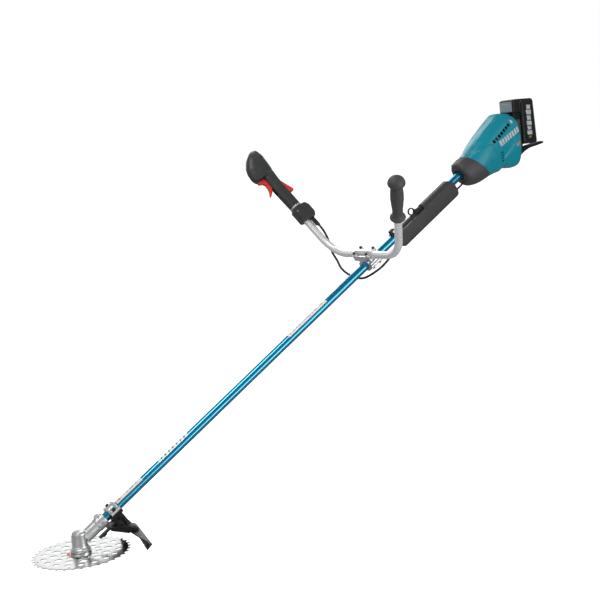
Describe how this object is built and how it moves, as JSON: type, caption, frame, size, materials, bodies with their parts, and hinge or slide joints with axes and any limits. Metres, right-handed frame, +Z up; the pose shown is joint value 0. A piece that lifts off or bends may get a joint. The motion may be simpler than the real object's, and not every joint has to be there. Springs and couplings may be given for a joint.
{
  "type": "brush cutter",
  "caption": "Battery brush cutter with a toothed disc blade, a long pipe, a U handlebar and a rear motor unit.",
  "frame": {"origin": "centre of the harness eye on the pipe, where the machine hangs", "axes": "+Z up, +Y from the blade towards the motor with the blade level, +X to the operator's left"},
  "size_m": [0.7446, 1.7803, 1.082],
  "materials": {
    "blade_steel": "ground steel",
    "steel": "machined steel",
    "silver_cast": "satin casting",
    "silver_bar": "bright satin tube",
    "blue_pipe": "glossy metallic blue",
    "black_screw": "black oxide",
    "black_plastic": "fine texture",
    "dark_plastic": "fine texture",
    "teal_plastic": "semi-gloss",
    "red_plastic": "semi-gloss",
    "grey_plastic": "satin",
    "black_rubber": "soft matt",
    "label_film": "gloss film",
    "board_metal": "finned",
    "windings": "copper and steel"
  },
  "bodies": {
    "frame": {"gear_case_bearings": "steel", "gear_case": "silver_cast", "case_cover": "silver_cast", "case_screws": "steel", "guard_clamp_top": "silver_cast", "guard_bracket": "black_plastic", "guard_screws": "black_screw", "guard": "black_plastic", "main_pipe": "blue_pipe", "shaft_bushes": "black_rubber", "pipe_labels": "label_film", "handle_base": "silver_cast", "handle_holder": "silver_cast", "handle_cap": "silver_cast", "handle_bolts": "black_screw", "handlebar": "silver_bar", "left_grip": "black_rubber", "grip_inner_shell": "dark_plastic", "grip_outer_shell": "dark_plastic", "trigger_pins": "steel", "trigger_spring": "steel", "throttle_switch": "black_plastic", "grip_band": "silver_cast", "cable_block": "dark_plastic", "cable_boot": "black_rubber", "control_cable": "black_rubber", "pipe_sleeve": "black_rubber", "hanger_band": "black_plastic", "hanger_eye": "black_screw", "hanger_bolt": "steel", "box_left": "dark_plastic", "box_right": "dark_plastic", "shell_screws": "steel", "motor_cable": "black_rubber", "nose_cover": "dark_plastic", "pipe_damper": "black_rubber", "housing_left": "teal_plastic", "housing_right": "teal_plastic", "stator": "windings", "motor_bearings": "steel", "controller": "board_metal", "battery_mount": "black_plastic", "rear_stand": "black_plastic"},
    "cutter": {"blade": "blade_steel", "receiver_washer": "steel", "clamp_washer": "steel", "blade_cup": "steel", "blade_nut": "steel", "spindle": "steel", "driven_gear": "steel"},
    "drive_line": {"pinion": "steel", "drive_shaft": "steel", "shaft_coupling": "steel", "rotor": "steel"},
    "trigger": {"trigger": "red_plastic"},
    "lock_lever": {"lock_lever": "red_plastic"},
    "power_button": {"power_button": "dark_plastic"},
    "battery": {"battery_case": "black_plastic"},
    "battery_button": {"battery_button": "grey_plastic"}
  },
  "joints": [
    {"name": "blade_spin", "type": "hinge", "parent": "frame", "child": "cutter", "pos_m": [0, -1.12621, -0.76004], "axis": [0, 0, 1], "continuous": true},
    {"name": "motor_spin", "type": "hinge", "parent": "frame", "child": "drive_line", "pos_m": [0, -1.12621, -0.73203], "axis": [0, 0.848, 0.5299], "continuous": true},
    {"name": "trigger_pull", "type": "hinge", "parent": "frame", "child": "trigger", "pos_m": [-0.34096, -0.28967, 0.1311], "axis": [0.8387, -0.2215, 0.4976], "range_deg": [0, 10], "stiffness_Nm_per_rad": 0.8, "springref_deg": -11.46},
    {"name": "lock_press", "type": "hinge", "parent": "frame", "child": "lock_lever", "pos_m": [-0.32571, -0.25911, 0.119], "axis": [-0.8387, 0.2215, -0.4976], "range_deg": [0, 8], "stiffness_Nm_per_rad": 0.8, "springref_deg": -11.46},
    {"name": "power_press", "type": "slide", "parent": "frame", "child": "power_button", "axis": [-0.8387, 0.2215, -0.4976], "range_m": [0, 0.0015], "stiffness_N_per_m": 1200, "springref_m": -0.001},
    {"name": "battery_lift", "type": "slide", "parent": "frame", "child": "battery", "axis": [0, 0, 1], "range_m": [0, 0.11]},
    {"name": "battery_latch", "type": "slide", "parent": "battery", "child": "battery_button", "axis": [0, 1, 0], "range_m": [0, 0.003], "stiffness_N_per_m": 1200, "springref_m": -0.001}
  ],
  "couplings": [
    {"joint": "motor_spin", "follows": "blade_spin", "ratio": -1.4286}
  ]
}
